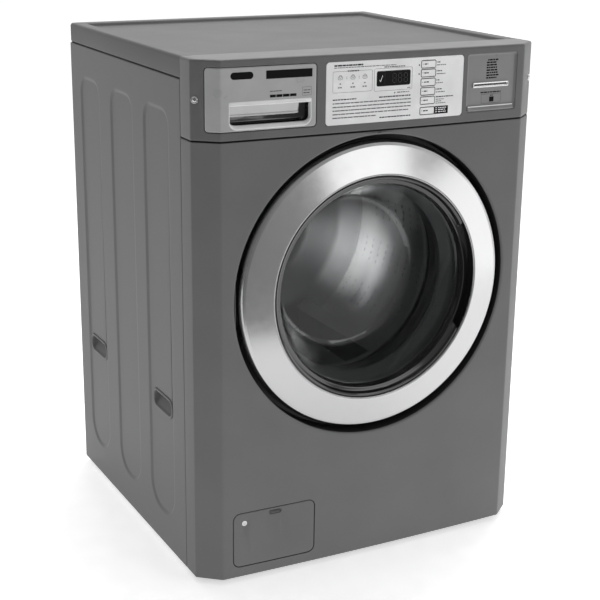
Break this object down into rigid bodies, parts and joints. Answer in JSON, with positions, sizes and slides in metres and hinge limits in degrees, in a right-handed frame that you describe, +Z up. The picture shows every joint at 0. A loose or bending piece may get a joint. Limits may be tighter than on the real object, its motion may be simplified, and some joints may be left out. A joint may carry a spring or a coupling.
{
  "type": "front load washing machine",
  "caption": "Free-standing front load washing machine with a round glass door, detergent drawer, key panel and payment slot.",
  "frame": {"origin": "on the floor, midway across the overall width and depth", "axes": "+X right seen from the front, +Y to the back, +Z up"},
  "size_m": [0.686, 0.684, 0.9544],
  "materials": {
    "body_paint": "satin charcoal paint",
    "lid_paint": "satin grey paint",
    "galvanised": "galvanised sheet",
    "panel_plastic": "fine-grained charcoal plastic",
    "drawer_plastic": "silver-grey plastic",
    "tray_plastic": "light grey plastic",
    "overlay": "white printed film",
    "key_film": "white keys",
    "window": "black gloss window",
    "board": "green circuit board",
    "steel_plate": "brushed plate",
    "bright_steel": "polished",
    "lock_metal": "nickel",
    "zinc": "zinc plated",
    "black_plastic": "black gloss plastic",
    "dark_plastic": "black plastic",
    "rubber": "dark rubber",
    "grey_rubber": "grey rubber gasket",
    "bowl_glass": "clear tempered glass",
    "ring_chrome": "satin bright ring",
    "tub_plastic": "filled plastic",
    "cast_weight": "cast weight",
    "stator_core": "wound steel core",
    "bearing_steel": "ground steel",
    "drum_steel": "stainless steel",
    "spider_cast": "cast aluminium",
    "brass": "brass"
  },
  "bodies": {
    "cabinet": {"left_side_panel": "body_paint", "right_side_panel": "body_paint", "side_grips": "dark_plastic", "rear_panel": "galvanised", "rear_access_cover": "galvanised", "base_pan": "galvanised", "levelling_feet": "rubber", "cross_braces": "galvanised", "top_panel": "lid_paint", "front_panel": "body_paint", "control_housing": "panel_plastic", "control_overlay": "overlay", "display_window": "window", "control_board": "board", "card_reader_plate": "steel_plate", "card_slot_bezel": "bright_steel", "panel_lock_barrels": "lock_metal", "dispenser_housing": "tray_plastic", "filter_housing": "dark_plastic", "drain_pump": "dark_plastic", "drain_hose": "rubber", "drain_outlet": "dark_plastic", "inlet_valves": "brass", "supply_gland": "dark_plastic", "cabinet_screws": "zinc", "hinge_bracket": "zinc", "door_lock": "dark_plastic", "damper_cylinders": "dark_plastic"},
    "tub": {"tub_front": "tub_plastic", "tub_rear": "tub_plastic", "door_gasket": "grey_rubber", "counterweights": "cast_weight", "stator": "stator_core", "drum_bearings": "bearing_steel", "damper_rods": "bearing_steel", "suspension_springs": "bearing_steel", "sump_hose": "rubber"},
    "drum": {"drum_shell": "drum_steel", "drum_back": "drum_steel", "drum_lifters": "drum_steel", "drum_spider": "spider_cast", "drum_shaft": "bearing_steel", "rotor": "galvanised"},
    "door": {"door_ring": "ring_chrome", "door_frame": "black_plastic", "door_glass": "bowl_glass", "hinge_arm": "zinc", "latch_hook": "bearing_steel"},
    "drawer": {"drawer_front": "drawer_plastic", "drawer_tray": "tray_plastic"},
    "flap": {"service_flap": "body_paint"},
    "filter_cap": {"filter_cap": "dark_plastic"},
    "lock_left": {"lock_plug_left": "lock_metal"},
    "lock_right": {"lock_plug_right": "lock_metal"},
    "key_1": {"button_1": "key_film"},
    "key_2": {"button_2": "key_film"},
    "key_3": {"button_3": "key_film"},
    "key_4": {"button_4": "key_film"},
    "key_5": {"button_5": "key_film"},
    "key_6": {"button_6": "key_film"}
  },
  "joints": [
    {"name": "door_swing", "type": "hinge", "parent": "cabinet", "child": "door", "pos_m": [-0.278, -0.323, 0.532], "axis": [0, 0, -1], "range_deg": [0, 115]},
    {"name": "drawer_slide", "type": "slide", "parent": "cabinet", "child": "drawer", "axis": [0, -1, 0], "range_m": [0, 0.2]},
    {"name": "tub_bounce", "type": "slide", "parent": "cabinet", "child": "tub", "axis": [0, 0, 1], "range_m": [-0.008, 0.008], "stiffness_N_per_m": 20000, "springref_m": 0.0382, "deforming": ["suspension_springs", "door_gasket", "sump_hose"]},
    {"name": "drum_spin", "type": "hinge", "parent": "tub", "child": "drum", "pos_m": [0, 0, 0.532], "axis": [0, 1, 0], "continuous": true},
    {"name": "flap_swing", "type": "hinge", "parent": "cabinet", "child": "flap", "pos_m": [-0.20065, -0.3275, 0.0445], "axis": [0.9997, -0.024, 0], "range_deg": [0, 85]},
    {"name": "filter_cap_turn", "type": "hinge", "parent": "cabinet", "child": "filter_cap", "pos_m": [-0.215, -0.268, 0.085], "axis": [0, -1, 0], "range_deg": [0, 90]},
    {"name": "lock_left_turn", "type": "hinge", "parent": "cabinet", "child": "lock_left", "pos_m": [-0.337, -0.30075, 0.888], "axis": [0.6367, 0.7711, 0], "range_deg": [0, 90]},
    {"name": "lock_right_turn", "type": "hinge", "parent": "cabinet", "child": "lock_right", "pos_m": [0.337, -0.30075, 0.888], "axis": [-0.6367, 0.7711, 0], "range_deg": [0, 90]},
    {"name": "key_1_press", "type": "slide", "parent": "cabinet", "child": "key_1", "axis": [0, 1, 0], "range_m": [0, 0.0015], "stiffness_N_per_m": 400},
    {"name": "key_2_press", "type": "slide", "parent": "cabinet", "child": "key_2", "axis": [0, 1, 0], "range_m": [0, 0.0015], "stiffness_N_per_m": 400},
    {"name": "key_3_press", "type": "slide", "parent": "cabinet", "child": "key_3", "axis": [0, 1, 0], "range_m": [0, 0.0015], "stiffness_N_per_m": 400},
    {"name": "key_4_press", "type": "slide", "parent": "cabinet", "child": "key_4", "axis": [0, 1, 0], "range_m": [0, 0.0015], "stiffness_N_per_m": 400},
    {"name": "key_5_press", "type": "slide", "parent": "cabinet", "child": "key_5", "axis": [0, 1, 0], "range_m": [0, 0.0015], "stiffness_N_per_m": 400},
    {"name": "key_6_press", "type": "slide", "parent": "cabinet", "child": "key_6", "axis": [0, 1, 0], "range_m": [0, 0.0015], "stiffness_N_per_m": 400}
  ]
}
